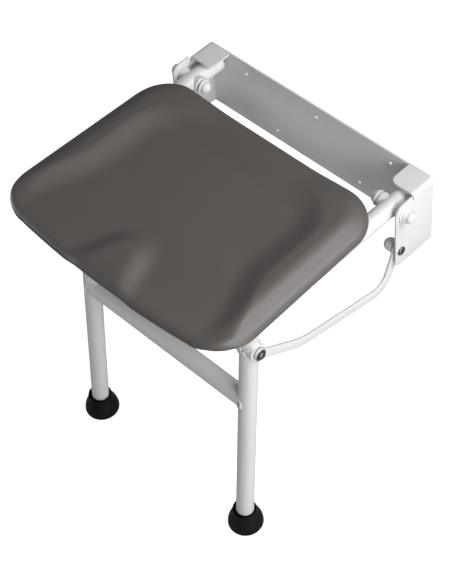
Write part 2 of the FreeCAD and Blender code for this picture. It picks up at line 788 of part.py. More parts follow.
def dish_height(x, y):
    """Height of the sculpted surface that is scooped out of the pad."""
    front = y - pad_front
    rear = pad_rear - y
    side_line = (pad_front_half + pad_rear_half) / 2 - dish_side_inset
    side_line += dish_flare * ease((dish_flare_reach - front) / (dish_flare_reach - dish_flare_start))
    qx = abs(x) - side_line + dish_rear_corner
    qy = dish_rear_inset - rear + dish_rear_corner
    inside = dish_rear_corner - math.hypot(max(qx, 0.0), max(qy, 0.0)) - min(max(qx, qy), 0.0)
    dish = ease((inside + dish_slope / 2) / dish_slope)
    rim = frame_top + pad_rim_rise + dish_over
    rear_share = ease((rear_rim_reach - rear) / (rear_rim_reach - rear_rim_start))
    rim -= rear_rim_drop * rear_share * ease((rear_rim_side - abs(x)) / rear_rim_fade)
    height = rim + (frame_top + pad_rim_rise - dish_depth - rim) * dish
    height -= front_drop * ease((front_drop_reach - front) / front_drop_reach)
    flank = pommel_half - pommel_taper * front
    across = ease((flank + pommel_flank / 2 - abs(x)) / pommel_flank)
    return height + pommel_height * across * ease((pommel_length - front) / pommel_rise)


def pad_blank():
    """The pad before it is scooped: drawn in below, widest low down, rounded over at the top."""
    top = pad_rim_rise
    wide = pad_widest_rise
    levels = [
        (0.0, pad_under_inset, pad_under_inset),
        (wide * 0.35, pad_under_inset * 0.32, pad_under_inset * 0.32),
        (wide, 0.0, 0.0),
        (wide + (top - wide) * 0.3, pad_shoulder * 0.04, pad_end_roll * 0.06),
        (wide + (top - wide) * 0.6, pad_shoulder * 0.22, pad_end_roll * 0.3),
        (wide + (top - wide) * 0.85, pad_shoulder * 0.55, pad_end_roll * 0.75),
        (top, pad_shoulder, pad_end_roll * 1.6),
    ]
    wires = []
    for rise, side_inset, end_inset in levels:
        corner = pad_corner - min(side_inset, pad_shoulder * 0.6)
        wires.append(outline_wire(side_inset, end_inset, corner, frame_top + rise, pad_bow))
    return Part.makeLoft(wires, True, False)


def dish_tool():
    """A block over the pad whose underside is the sculpted surface, lofted through arcs."""
    half = pad_front_half + dish_clear
    rows = round(pad_depth / dish_row_step)
    spans = 2 * round(half / dish_span_step)
    roof = frame_top + pad_rim_rise + dish_clear
    wires = []
    for k in range(rows + 1):
        t = k / rows
        y = pad_front - dish_clear + (pad_depth + 2 * dish_clear) * (t + ease(t)) / 2
        inner = min(max(y, pad_front), pad_rear)
        xs = [half * (2 * i / spans - 1) for i in range(spans + 1)]
        low = [point(x, y, dish_height(x, inner)) for x in xs]
        edges = []
        for i in range(0, spans, 2):
            bump = point(0, 0, 1e-3)
            edges.append(Part.Arc(low[i], low[i + 1] + bump, low[i + 2]).toShape())
        right, left = point(half, y, roof), point(-half, y, roof)
        edges.append(Part.LineSegment(low[-1], right).toShape())
        edges.append(Part.LineSegment(right, left).toShape())
        edges.append(Part.LineSegment(left, low[0]).toShape())
        wires.append(Part.Wire(edges))
    return Part.makeLoft(wires, True, False)


def seat_pad():
    pad = pad_blank().cut(dish_tool())
    pad = pad.cut(board_blank())
    return max(pad.Solids, key=lambda piece: piece.Volume)


def save(name, shape):
    shape.exportStep("parts/" + name + ".step")
    solids = len(shape.Solids)
    print(name, "solids", solids, "volume", round(shape.Volume), "valid", shape.isValid())


def main():
    save("wall_bracket", wall_bracket())
    save("seat_frame", seat_frame())
    save("frame_bar_front", cross_bar(front_bar_y()))
    save("frame_bar_rear", cross_bar(rear_bar_y()))
    save("seat_board", seat_board())
    save("pad_screws", pad_screws())
    save("seat_pad", seat_pad())
    save("leg_cross_tube_upper", leg_cross(stub_pivot, tube_radius))
    save("leg_cross_tube_lower", leg_cross(on_leg(lower_cross_drop), cross_tube_radius))
    for name, side in SIDES:
        save("hinge_bolt_" + name, hinge_bolt(side))
        save("hinge_nut_" + name, hinge_nut(side))
        save("hinge_bush_" + name, hinge_bush(side))
        save("hinge_saddle_" + name, hinge_saddle(side))
        save("hinge_flanges_" + name, Part.makeCompound([cap_flange(side, True), cap_flange(side, False)]))
        save("hinge_cap_outer_" + name, cap_dome(side, True))
        save("hinge_cap_inner_" + name, cap_dome(side, False))
        save("frame_plug_" + name, tube_plug(side))
        save("leg_clevis_" + name, leg_clevis(side))
        save("leg_pivot_bolt_" + name, leg_pivot_bolt(side))
        save("leg_pivot_nut_" + name, leg_pivot_nut(side))
        save("leg_sleeve_" + name, leg_sleeve(side))
        save("leg_tube_" + name, leg_tube(side))
        save("leg_cap_" + name, leg_cap(side))
        save("link_stub_" + name, link_stub(side))
        save("link_" + name, link(side))
        save("link_washers_" + name, link_washers(side))
        save("link_bolt_" + name, link_bolt(side))
        save("link_nut_" + name, link_nut(side))
        save("link_cap_" + name, link_cap(side))
        save("stub_screw_" + name, stub_screw(side))
        save("stub_washers_" + name, stub_washers(side))
        save("foot_insert_" + name, foot_insert(side))
        save("foot_" + name, foot(side))


main()
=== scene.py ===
# %% [markdown]
# # A fold down wall seat
# The seat hangs from a folded steel bracket and stands on two raked legs. We start from the
# engineered frame, a set of plain nodes that already move, and give each node the look it has
# in life: bent tubes, a folded sheet, turned caps and a moulded foam pad.

# %%
import bpy
import bmesh
import json
import math
from mathutils import Matrix, Vector


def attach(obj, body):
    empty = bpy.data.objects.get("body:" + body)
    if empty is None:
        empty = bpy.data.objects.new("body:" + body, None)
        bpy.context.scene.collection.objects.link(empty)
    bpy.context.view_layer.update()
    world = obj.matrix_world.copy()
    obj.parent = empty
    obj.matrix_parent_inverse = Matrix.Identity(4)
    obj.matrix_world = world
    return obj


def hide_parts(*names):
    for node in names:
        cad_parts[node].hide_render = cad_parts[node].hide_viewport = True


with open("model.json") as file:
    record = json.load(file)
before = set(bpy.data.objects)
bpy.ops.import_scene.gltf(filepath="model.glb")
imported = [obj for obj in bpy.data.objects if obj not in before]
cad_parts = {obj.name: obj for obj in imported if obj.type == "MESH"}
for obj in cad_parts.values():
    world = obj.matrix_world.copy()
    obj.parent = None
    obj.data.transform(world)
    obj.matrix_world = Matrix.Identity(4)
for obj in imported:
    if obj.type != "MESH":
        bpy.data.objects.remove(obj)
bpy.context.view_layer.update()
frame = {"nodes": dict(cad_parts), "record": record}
print("nodes in the frame:", len(frame["nodes"]))

# %% [markdown]
# ## Measures
# The numbers are in millimetres, because that is how such a seat is made. Blender works in
# metres, so one helper turns a list of points and faces into an object and does the change
# there. It also says which body the piece moves with and which plain nodes it stands for.

# %%
MM = 0.001
SIDES = (("left", -1), ("right", 1))
HINGE = Vector((0, -58.0, 38.0))
LEG_PIVOT = Vector((0, -289.5, 16.5))
RAKE = math.radians(6.2)
DOWN_LEG = Vector((0, -math.sin(RAKE), -math.cos(RAKE)))
LINK_DROP = 64.4
LINK_PIVOT = HINGE + DOWN_LEG * LINK_DROP
STUB_PIVOT = LEG_PIVOT + DOWN_LEG * LINK_DROP
TUBE = 12.7
FLOOR = -418.0
slot_of = {entry["node"]: entry["material_slot"] for entry in frame["record"]["subparts"]}


def piece(name, shells, paint, body, nodes, sharp=38):
    """Makes one object from closed shells, each a list of points and a list of faces."""
    points, faces = [], []
    for shell_points, shell_faces in shells:
        start = len(points)
        points += [tuple(c * MM for c in p) for p in shell_points]
        faces += [[start + i for i in face] for face in shell_faces]
    mesh = bpy.data.meshes.new(name)
    mesh.from_pydata(points, [], faces)
    return finish_piece(name, mesh, paint, body, nodes, sharp)


def finish_piece(name, mesh, paint, body, nodes, sharp=38):
    work = bmesh.new()
    work.from_mesh(mesh)
    bmesh.ops.recalc_face_normals(work, faces=work.faces)
    work.to_mesh(mesh)
    work.free()
    mesh.shade_smooth()
    mesh.set_sharp_from_angle(angle=math.radians(sharp))
    mesh.materials.clear()
    mesh.materials.append(paint)
    obj = bpy.data.objects.new(name, mesh)
    bpy.context.scene.collection.objects.link(obj)
    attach(obj, body)
    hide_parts(*nodes)
    return obj


print("leg pivot", tuple(LEG_PIVOT), "link pivot", tuple(round(c, 1) for c in LINK_PIVOT))

# %% [markdown]
# ## Four ways to make a shape
# Nearly everything on this seat is made in one of four ways. A turned part is a profile spun
# round a line. A bent bar is a section carried along a path. A flat part is an outline given
# thickness, with its edges eased. A path is a row of corners, each rounded by a bend.

# %%
def rounded(corners, radii, steps=8):
    """Rounds the inner corners of an open path; works in two or three dimensions."""
    pts = [Vector(c) for c in corners]
    path = [pts[0]]
    for i in range(1, len(pts) - 1):
        path += bend(pts[i - 1], pts[i], pts[i + 1], radii[i], steps)
    return path + [pts[-1]]


def bend(a, b, c, radius, steps):
    before, after = (a - b).normalized(), (c - b).normalized()
    angle = before.angle(after)
    if radius <= 0 or angle > math.pi - 1e-4:
        return [b]
    reach = radius / math.tan(angle / 2)
    centre = b + (before + after).normalized() * (radius / math.sin(angle / 2))
    start, stop = b + before * reach - centre, b + after * reach - centre
    sweep = start.angle(stop)
    turn = []
    for k in range(steps + 1):
        t = k / steps
        mix = start * math.sin((1 - t) * sweep) + stop * math.sin(t * sweep)
        turn.append(centre + mix / math.sin(sweep))
    return turn


def rounded_loop(corners, radii, steps=8):
    """The same for a closed outline, where every corner is rounded."""
    pts = [Vector(c) for c in corners]
    count = len(pts)
    loop = []
    for i in range(count):
        loop += bend(pts[i - 1], pts[i], pts[(i + 1) % count], radii[i], steps)
    return loop


def stitch(rings, close_ends=True):
    """Joins rings of equal length with quads; a ring of one point closes as a fan."""
    points, faces, starts = [], [], []
    for ring in rings:
        starts.append(len(points))
        points += list(ring)
    for k in range(len(rings) - 1):
        a, b = rings[k], rings[k + 1]
        n = max(len(a), len(b))
        for i in range(n):
            j = (i + 1) % n
            if len(a) == 1:
                faces.append([starts[k], starts[k + 1] + i, starts[k + 1] + j])
            elif len(b) == 1:
                faces.append([starts[k] + i, starts[k] + j, starts[k + 1]])
            else:
                faces.append([starts[k] + i, starts[k] + j, starts[k + 1] + j, starts[k + 1] + i])
    if close_ends:
        if len(rings[0]) > 2:
            faces.append([starts[0] + i for i in range(len(rings[0]))][::-1])
        if len(rings[-1]) > 2:
            faces.append([starts[-1] + i for i in range(len(rings[-1]))])
    return points, faces


def turned(profile, start, along, steps=40):
    """Spins (distance along, radius) pairs round the line from start in the direction along."""
    along = Vector(along).normalized()
    across = along.orthogonal().normalized()
    other = along.cross(across)
    rings = []
    for distance, radius in profile:
        centre = Vector(start) + along * distance
        if radius < 1e-6:
            rings.append([centre])
            continue
        ring = []
        for k in range(steps):
            a = math.tau * k / steps
            ring.append(centre + (across * math.cos(a) + other * math.sin(a)) * radius)
        rings.append(ring)
    return stitch(rings)


def swept(path, section, side_hint=(1, 0, 0)):
    """Carries a closed section, given as (width, thickness) pairs, along a path."""
    hint = Vector(side_hint)
    rings = []
    for i, spot in enumerate(path):
        ahead = (path[min(i + 1, len(path) - 1)] - path[max(i - 1, 0)]).normalized()
        thick = (hint - ahead * hint.dot(ahead)).normalized()
        wide = ahead.cross(thick)
        rings.append([spot + wide * w + thick * t for w, t in section])
    return stitch(rings)


def flat(outline, low, high, place, ease=0.5, steps=3):
    """Gives a flat outline thickness; place turns (u, v, height) into a point."""
    count = len(outline)
    pts = [Vector((p[0], p[1])) for p in outline]
    area = sum(pts[i - 1].x * pts[i].y - pts[i].x * pts[i - 1].y for i in range(count))
    if area < 0:
        pts = pts[::-1]
    inward = []
    for i in range(count):
        edge = pts[(i + 1) % count] - pts[i - 1]
        inward.append(Vector((-edge.y, edge.x)).normalized())
    levels = []
    for k in range(steps + 1):
        a = math.pi / 2 * k / steps
        levels.append((ease * (1 - math.sin(a)), ease * (1 - math.cos(a))))
    levels = [(inset, low + rise) for inset, rise in levels]
    levels += [(inset, high + low - rise) for inset, rise in levels[::-1]]
    if ease == 0:
        levels = [(0, low), (0, high)]
    rings = []
    for inset, height in levels:
        rings.append([place(p.x + n.x * inset, p.y + n.y * inset, height) for p, n in zip(pts, inward)])
    return stitch(rings)


print("shape tools ready")

# %% [markdown]
# ## Materials
# Every finish is a small network of nodes. Powder coat is never quite even: a fine orange peel
# bends the reflections, and the roughness drifts a little. We read the noise from object
# coordinates, so that the pattern stays with a piece when it moves.

# %%
def material(name, colour, rough, spread=0.05, grain=600.0, bump=0.0, metal=0.0, drift=0.04, edge=0.0,
             spec=0.5):
    """A surface with drifting colour and roughness and a fine relief."""
    mat = bpy.data.materials.new(name)
    mat.use_nodes = True
    nodes, links = mat.node_tree.nodes, mat.node_tree.links
    shader = nodes["Principled BSDF"]
    shader.inputs["Metallic"].default_value = metal
    shader.inputs["Specular IOR Level"].default_value = spec
    place = nodes.new("ShaderNodeTexCoord")
    broad = nodes.new("ShaderNodeTexNoise")
    broad.inputs["Scale"].default_value = 14.0
    broad.inputs["Detail"].default_value = 4.0
    fine = nodes.new("ShaderNodeTexNoise")
    fine.inputs["Scale"].default_value = grain
    fine.inputs["Detail"].default_value = 3.0
    links.new(place.outputs["Object"], broad.inputs["Vector"])
    links.new(place.outputs["Object"], fine.inputs["Vector"])
    ramp = nodes.new("ShaderNodeMixRGB")
    ramp.inputs["Color1"].default_value = (*[c * (1 - drift) for c in colour], 1)
    ramp.inputs["Color2"].default_value = (*[min(1, c * (1 + drift)) for c in colour], 1)
    links.new(broad.outputs["Fac"], ramp.inputs["Fac"])
    speck = nodes.new("ShaderNodeMixRGB")
    speck.blend_type = "MULTIPLY"
    speck.inputs["Fac"].default_value = 1.0
    level = nodes.new("ShaderNodeMapRange")
    level.inputs["To Min"].default_value = 1 - drift
    level.inputs["To Max"].default_value = 1 + drift
    links.new(fine.outputs["Fac"], level.inputs["Value"])
    links.new(ramp.outputs["Color"], speck.inputs["Color1"])
    links.new(level.outputs["Result"], speck.inputs["Color2"])
    links.new(speck.outputs["Color"], shader.inputs["Base Color"])
    shine = nodes.new("ShaderNodeMapRange")
    shine.inputs["To Min"].default_value = rough - spread
    shine.inputs["To Max"].default_value = rough + spread
    links.new(broad.outputs["Fac"], shine.inputs["Value"])
    links.new(shine.outputs["Result"], shader.inputs["Roughness"])
    relief = nodes.new("ShaderNodeBump")
    relief.inputs["Strength"].default_value = bump
    relief.inputs["Distance"].default_value = 0.0002
    links.new(fine.outputs["Fac"], relief.inputs["Height"])
    if edge > 0:
        soft = nodes.new("ShaderNodeBevel")
        soft.inputs["Radius"].default_value = edge
        links.new(soft.outputs["Normal"], relief.inputs["Normal"])
    links.new(relief.outputs["Normal"], shader.inputs["Normal"])
    return mat


paint = material("white_powder_coat", (0.75, 0.745, 0.745), 0.38, 0.05, 900, 0.25, drift=0.02, edge=0.0004)
white_plastic = material("white_nylon", (0.76, 0.755, 0.75), 0.45, 0.06, 700, 0.15, drift=0.02)
zinc = material("zinc_plate", (0.20, 0.20, 0.19), 0.32, 0.10, 400, 0.2, metal=1.0, edge=0.0003)
dark_plastic = material("black_nylon", (0.022, 0.022, 0.022), 0.45, 0.08, 500, 0.2)
rubber = material("black_rubber", (0.0045, 0.0042, 0.0036), 0.5, 0.08, 300, 0.4, spec=0.2)
board_skin = material("board", (0.03, 0.03, 0.03), 0.6, 0.08, 300, 0.4)
skin = material("foam_skin", (0.108, 0.098, 0.092), 0.5, 0.05, 650, 0.9, drift=0.06, spec=0.9)
looks = {"white_paint": paint, "zinc_steel": zinc, "white_plastic": white_plastic, "dark_cap": dark_plastic,
         "black_rubber": rubber, "seat_skin": skin, "board_black": board_skin}
for name, node in frame["nodes"].items():
    node.data.materials.clear()
    node.data.materials.append(looks[slot_of[name]])
print("materials:", ", ".join(looks))

# %% [markdown]
# ## The wall bracket: cut flat, then folded
# A workshop cuts this bracket flat and folds it. We do the same. The flat sheet gets its
# outline, then its holes, then a row of fine cuts where each fold will be, and only then every
# point is moved to its place on the folded shape. The distance along the sheet stays true.

# %%
SHEET = 3.0
HALF_WIDTH = 202.0
TOP, LOW = 58.0, -52.0
BEND = 5.0
CHEEK = 75.0
CHEEK_TOP_CORNER, CHEEK_LOW_CORNER = 14.0, 8.0
TAB, TAB_DEPTH, TAB_BEND = 41.0, 40.0, 8.0
TAB_LAP, TAB_SLOT, CORNER_CUT = 3.0, 3.0, 12.0
WALL_HOLE, PIVOT_HOLE = 3.25, 4.05
FOLD_CUTS = 12
neutral = BEND - SHEET / 2
arc = neutral * math.pi / 2
flat_half = HALF_WIDTH - BEND
reach = flat_half + arc + CHEEK - BEND


def fold_bracket(s, depth):
    """Where a spot on the flat sheet goes: s runs along the sheet, depth is 0 at the wall side."""
    side = 1 if s >= 0 else -1
    far = abs(s)
    if far <= flat_half:
        return side * far, -depth
    if far <= flat_half + arc:
        a = (far - flat_half) / neutral
        radius = BEND - depth
        return side * (flat_half + radius * math.sin(a)), -BEND + radius * math.cos(a)
    return side * (HALF_WIDTH - depth), -BEND - (far - flat_half - arc)


def cut_tool(shells):
    mesh = bpy.data.meshes.new("tool")
    points, faces = [], []
    for shell_points, shell_faces in shells:
        start = len(points)
        points += [tuple(p) for p in shell_points]
        faces += [[start + i for i in face] for face in shell_faces]
    mesh.from_pydata(points, [], faces)
    work = bmesh.new()
    work.from_mesh(mesh)
    bmesh.ops.recalc_face_normals(work, faces=work.faces)
    work.to_mesh(mesh)
    work.free()
    obj = bpy.data.objects.new("tool", mesh)
    bpy.context.scene.collection.objects.link(obj)
    return obj


def combine(obj, tool, operation):
    """Cuts, joins or keeps the overlap of two closed shapes, and throws the tool away."""
    step = obj.modifiers.new("step", "BOOLEAN")
    step.operation = operation
    step.solver = "EXACT"
    step.object = tool
    graph = bpy.context.evaluated_depsgraph_get()
    result = bpy.data.meshes.new_from_object(obj.evaluated_get(graph))
    bpy.data.objects.remove(obj)
    bpy.data.objects.remove(tool)
    new = bpy.data.objects.new("result", result)
    bpy.context.scene.collection.objects.link(new)
    return new


front_s = reach
y_to_s = flat_half + arc - BEND
step_z = TOP - TAB_BEND
lap_s, cut_s, slot_s = HALF_WIDTH - TAB + TAB_LAP, HALF_WIDTH - CORNER_CUT, y_to_s + (TAB_DEPTH + TAB_SLOT)
right_half = [(lap_s, TOP), (lap_s, TOP - SHEET), (cut_s, TOP - SHEET), (cut_s, step_z),
              (slot_s, step_z), (slot_s, TOP), (front_s, TOP), (front_s, LOW)]
radii = [0.4, 0, 0, 0, 0.8, 0.8, CHEEK_TOP_CORNER, CHEEK_LOW_CORNER]
corners = right_half + [(-s, z) for s, z in right_half[::-1]]
all_radii = radii + radii[::-1]
outline = rounded_loop([(s, z, 0) for s, z in corners], all_radii, 6)


def upright(u, v, height):
    return Vector((u, v, height))


sheet = cut_tool([flat([(p.x, p.y) for p in outline], 0.0, SHEET, upright, 0.45)])
holes = [(-130, 38), (0, 38), (130, 38), (-75.5, -35.5), (75.5, -35.5)]
drills = [turned([(0, WALL_HOLE), (9, WALL_HOLE)], (x, z, -3), (0, 0, 1), 24) for x, z in holes]
for side in (-1, 1):
    for spot in (HINGE, LINK_PIVOT):
        s = side * (y_to_s - spot.y)
        drills.append(turned([(0, PIVOT_HOLE), (9, PIVOT_HOLE)], (s, spot.z, -3), (0, 0, 1), 24))
sheet = combine(sheet, cut_tool(drills), "DIFFERENCE")
work = bmesh.new()
work.from_mesh(sheet.data)
for side in (-1, 1):
    for k in range(FOLD_CUTS + 1):
        s = side * (flat_half + arc * k / FOLD_CUTS)
        everything = work.verts[:] + work.edges[:] + work.faces[:]
        bmesh.ops.bisect_plane(work, geom=everything, plane_co=(s, 0, 0), plane_no=(1, 0, 0), dist=1e-5)
for vert in work.verts:
    x, y = fold_bracket(vert.co.x, vert.co.z)
    vert.co = Vector((x, y, vert.co.y)) * MM
work.to_mesh(sheet.data)
work.free()
print("bracket sheet points:", len(sheet.data.vertices))

# %% [markdown]
# The two tabs are folded in from the cheeks and welded along their rear edge to the back
# plate. Each one is a flat strip with one fold, trimmed to the rounded outline that the
# bracket has from above. They close the sharp upper corners of the bracket.

# %%
def tab_shell(side):
    """A strip folded from the cheek over the top, a little longer than the tab on every side."""
    fold = TOP - TAB_BEND - 0.02
    far = HALF_WIDTH - TAB - 2
    corners = [(HALF_WIDTH, fold, 0), (HALF_WIDTH, TOP, 0), (far, TOP, 0)]
    outer = rounded(corners, [0, TAB_BEND, 0], 10)
    corners = [(HALF_WIDTH - SHEET, fold, 0), (HALF_WIDTH - SHEET, TOP - SHEET, 0), (far, TOP - SHEET, 0)]
    inner = rounded(corners, [0, TAB_BEND - SHEET, 0], 10)
    section = [(p.x * side, p.y) for p in outer + inner[::-1]]
    return stitch([[Vector((x, y, z)) for x, z in section] for y in (1, -TAB_DEPTH - 1)])


TAB_CORNERS = [6.0, 10.0, 0, 8.0]
shells = []
for side in (-1, 1):
    inner_x, outer_x = side * (HALF_WIDTH - TAB), side * (HALF_WIDTH + 0.01)
    corners = [(inner_x, 0, 0), (inner_x, -TAB_DEPTH, 0), (outer_x, -TAB_DEPTH, 0), (outer_x, 0, 0)]
    plan = rounded_loop(corners, TAB_CORNERS, 10)
    plan_tool = flat([(p.x, p.y) for p in plan], TOP - 18, TOP + 7, upright, 0)
    shells.append(combine(cut_tool([tab_shell(side)]), cut_tool([plan_tool]), "INTERSECT"))
work = bmesh.new()
for tab in shells:
    work.from_mesh(tab.data)
bmesh.ops.scale(work, vec=(MM, MM, MM), verts=work.verts)
bmesh.ops.remove_doubles(work, verts=work.verts, dist=1e-6)
work.from_mesh(sheet.data)
bracket_mesh = bpy.data.meshes.new("bracket_sheet")
work.to_mesh(bracket_mesh)
work.free()
for obj in shells + [sheet]:
    bpy.data.objects.remove(obj)
bracket = finish_piece("bracket_sheet", bracket_mesh, paint, "bracket", ["wall_bracket"], 30)
print("bracket faces:", len(bracket.data.polygons))

# %% [markdown]
# ## Bent tubes with geometry nodes
# All tubes follow one rule: a row of corners, a bend at each corner and a round section. That
# is a job for geometry nodes. We build the tree once, feed it a row of corners, and keep the
# result as a plain mesh.

# %%
def tube_tree():
    tree = bpy.data.node_groups.new("bent_tube", "GeometryNodeTree")
    face = tree.interface
    face.new_socket("Corners", in_out="INPUT", socket_type="NodeSocketGeometry")
    for label, value in (("Radius", 0.0127), ("Bend radius", 0.062)):
        socket = face.new_socket(label, in_out="INPUT", socket_type="NodeSocketFloat")
        socket.default_value = value
    face.new_socket("Paint", in_out="INPUT", socket_type="NodeSocketMaterial")
    face.new_socket("Tube", in_out="OUTPUT", socket_type="NodeSocketGeometry")
    start = tree.nodes.new("NodeGroupInput")
    end = tree.nodes.new("NodeGroupOutput")
    line = tree.nodes.new("GeometryNodeMeshToCurve")
    fillet = tree.nodes.new("GeometryNodeFilletCurve")
    section = tree.nodes.new("GeometryNodeCurvePrimitiveCircle")
    tube = tree.nodes.new("GeometryNodeCurveToMesh")
    look = tree.nodes.new("GeometryNodeSetMaterial")
    fillet.mode = "POLY"
    fillet.inputs["Count"].default_value = 20
    fillet.inputs["Limit Radius"].default_value = True
    section.inputs["Resolution"].default_value = 40
    tube.inputs["Fill Caps"].default_value = True
    link = tree.links.new
    link(start.outputs["Corners"], line.inputs["Mesh"])
    link(line.outputs["Curve"], fillet.inputs["Curve"])
    link(start.outputs["Bend radius"], fillet.inputs["Radius"])
    link(start.outputs["Radius"], section.inputs["Radius"])
    link(fillet.outputs["Curve"], tube.inputs["Curve"])
    link(section.outputs["Curve"], tube.inputs["Profile Curve"])
    link(tube.outputs["Mesh"], look.inputs["Geometry"])
    link(start.outputs["Paint"], look.inputs["Material"])
    link(look.outputs["Geometry"], end.inputs["Tube"])
    return tree


tree = tube_tree()
socket_id = {item.name: item.identifier for item in tree.interface.items_tree if item.in_out == "INPUT"}


def bent_tube(corners, radius, bend_radius=0.0):
    """The mesh of a round tube along a row of corners, in metres."""
    wire = bpy.data.meshes.new("corners")
    pts = [tuple(c * MM for c in p) for p in corners]
    wire.from_pydata(pts, [(i, i + 1) for i in range(len(pts) - 1)], [])
    obj = bpy.data.objects.new("corners", wire)
    bpy.context.scene.collection.objects.link(obj)
    step = obj.modifiers.new("tube", "NODES")
    step.node_group = tree
    step[socket_id["Radius"]] = radius * MM
    step[socket_id["Bend radius"]] = bend_radius * MM
    step[socket_id["Paint"]] = paint
    graph = bpy.context.evaluated_depsgraph_get()
    mesh = bpy.data.meshes.new_from_object(obj.evaluated_get(graph))
    bpy.data.objects.remove(obj)
    return mesh


def with_shells(mesh, shells):
    """Adds closed shells given in millimetres, such as weld beads, to a mesh."""
    work = bmesh.new()
    work.from_mesh(mesh)
    for points, faces in shells:
        made = [work.verts.new(Vector(p) * MM) for p in points]
        for face in faces:
            work.faces.new([made[i] for i in face])
    work.to_mesh(mesh)
    work.free()
    return mesh


FRAME_BEND = 62.0
rear_y, front_y, half, frame_z = -10.0, -362.0, 178.8, HINGE.z
corners = [(-half, rear_y, frame_z), (-half, front_y, frame_z),
           (half, front_y, frame_z), (half, rear_y, frame_z)]
seat_tube = finish_piece("frame_tube", bent_tube(corners, TUBE, FRAME_BEND), paint, "seat", ["seat_frame"])
PLUG = [(-15, 0), (-15, 9), (-13, 11), (0, 11), (0, 12.7), (0.8, 12.7), (1.6, 11.8), (2, 10), (2, 0)]
for name, side in SIDES:
    piece("frame_plug_cap_" + name, [turned(PLUG, (side * half, rear_y, frame_z), (0, 1, 0))],
          white_plastic, "seat", ["frame_plug_" + name])
print("seat tube faces:", len(seat_tube.data.polygons))

# %% [markdown]
# ## Legs, cross tubes and welds
# The cross tubes stop at the legs, so each joint needs a weld. A bead is a thin uneven ring
# that follows the line where the two tubes meet. We find that line from the two radii and the
# angle between the tubes, and let a little waviness stand for the weld's ripples.

# %%
def on_leg(x, distance):
    return Vector((x, 0, 0)) + LEG_PIVOT + DOWN_LEG * distance


def bead(x_leg, place, side, radius, leg_radius=TUBE, size=1.9):
    """A weld ring where a cross tube along X meets a raked leg."""
    path = []
    steps = 72
    for k in range(steps):
        a = math.tau * k / steps
        spot = Vector((0, math.cos(a), math.sin(a))) * radius
        across = spot - DOWN_LEG * spot.dot(DOWN_LEG)
        reach_x = math.sqrt(max(0.0, leg_radius ** 2 - across.length ** 2))
        path.append(Vector((x_leg + side * (reach_x + 0.3), 0, 0)) + place + spot)
    rings = []
    for i, spot in enumerate(path):
        ahead = (path[(i + 1) % steps] - path[i - 1]).normalized()
        out = (spot - place - Vector((x_leg, 0, 0))).normalized()
        other = ahead.cross(out).normalized()
        thick = size * (1 + 0.12 * math.sin(i * math.tau / 4.5))
        rings.append([spot + (out * math.cos(b) + other * math.sin(b)) * thick
                      for b in (math.tau * j / 10 for j in range(10))])
    points, faces = stitch(rings, close_ends=False)
    last = (steps - 1) * 10
    faces += [[last + j, last + (j + 1) % 10, (j + 1) % 10, j] for j in range(10)]
    return points, faces


LEG_ABOVE, LEG_END_HEIGHT = 12.0, 33.0
LOWER_CROSS, LOWER_RADIUS = 169.5, 13.6
CROSS_SHORT = 6.0
leg_x = 150.0
low_end = (LEG_PIVOT.z - FLOOR - LEG_END_HEIGHT) / math.cos(RAKE)
for name, side in SIDES:
    x = side * leg_x
    tube = bent_tube([on_leg(x, -LEG_ABOVE), on_leg(x, low_end / 2), on_leg(x, low_end)], TUBE)
    finish_piece("leg_" + name, tube, paint, "leg_frame", ["leg_tube_" + name])
lower_place = LEG_PIVOT + DOWN_LEG * LOWER_CROSS
for name, place, radius in (("upper", STUB_PIVOT, TUBE), ("lower", lower_place, LOWER_RADIUS)):
    ends = leg_x - CROSS_SHORT
    tube = bent_tube([Vector((x, 0, 0)) + place for x in (-ends, 0, ends)], radius)
    beads = [bead(-leg_x, place, 1, radius), bead(leg_x, place, -1, radius)]
    finish_piece("cross_tube_" + name, with_shells(tube, beads), paint,
                 "leg_frame", ["leg_cross_tube_" + name])
for name, side in SIDES:
    profile = [(4, 0), (4, TUBE), (15.1, TUBE), (15.6, 12.2), (15.6, 0)]
    shell = turned(profile, Vector((side * leg_x, 0, 0)) + STUB_PIVOT, (side, 0, 0))
    weld = bead(side * leg_x, STUB_PIVOT, side, TUBE)
    piece("stub_" + name, [shell, weld], paint, "leg_frame", ["link_stub_" + name])
print("leg length", round(low_end + LEG_ABOVE, 1), "mm")

# %% [markdown]
# Each leg hangs in a clevis: one strap, folded into a U and welded under the front bar. The
# strap's ends are rounded, so its width follows an arc near both ends.

# %%
EASED = ((-1, -0.7), (-0.98, -1), (0.98, -1), (1, -0.7), (1, 0.7), (0.98, 1), (-0.98, 1), (-1, 0.7))
CLEVIS_OUT, CLEVIS_IN, CLEVIS_TOP = 166.1, 133.9, 45.7
STRAP_HALF, STRAP_THICK, STRAP_CORNER = 15.0, 1.5, 11.4


def strap(path, half_wide, half_thick, corner):
    """A flat strap along a path in a plane of constant y, with rounded ends."""
    run = [0.0]
    for p, q in zip(path, path[1:]):
        run.append(run[-1] + (q - p).length)
    rings = []
    for i, spot in enumerate(path):
        ahead = (path[min(i + 1, len(path) - 1)] - path[max(i - 1, 0)]).normalized()
        across = ahead.cross(Vector((0, 1, 0)))
        gap = max(0.0, corner - min(run[i], run[-1] - run[i]))
        wide = half_wide - corner + math.sqrt(max(0.0, corner ** 2 - gap ** 2)) + 0.01
        ring = []
        for w, t in EASED:
            ring.append(spot + Vector((0, wide * w, 0)) + across * half_thick * t)
        rings.append(ring)
    return stitch(rings)


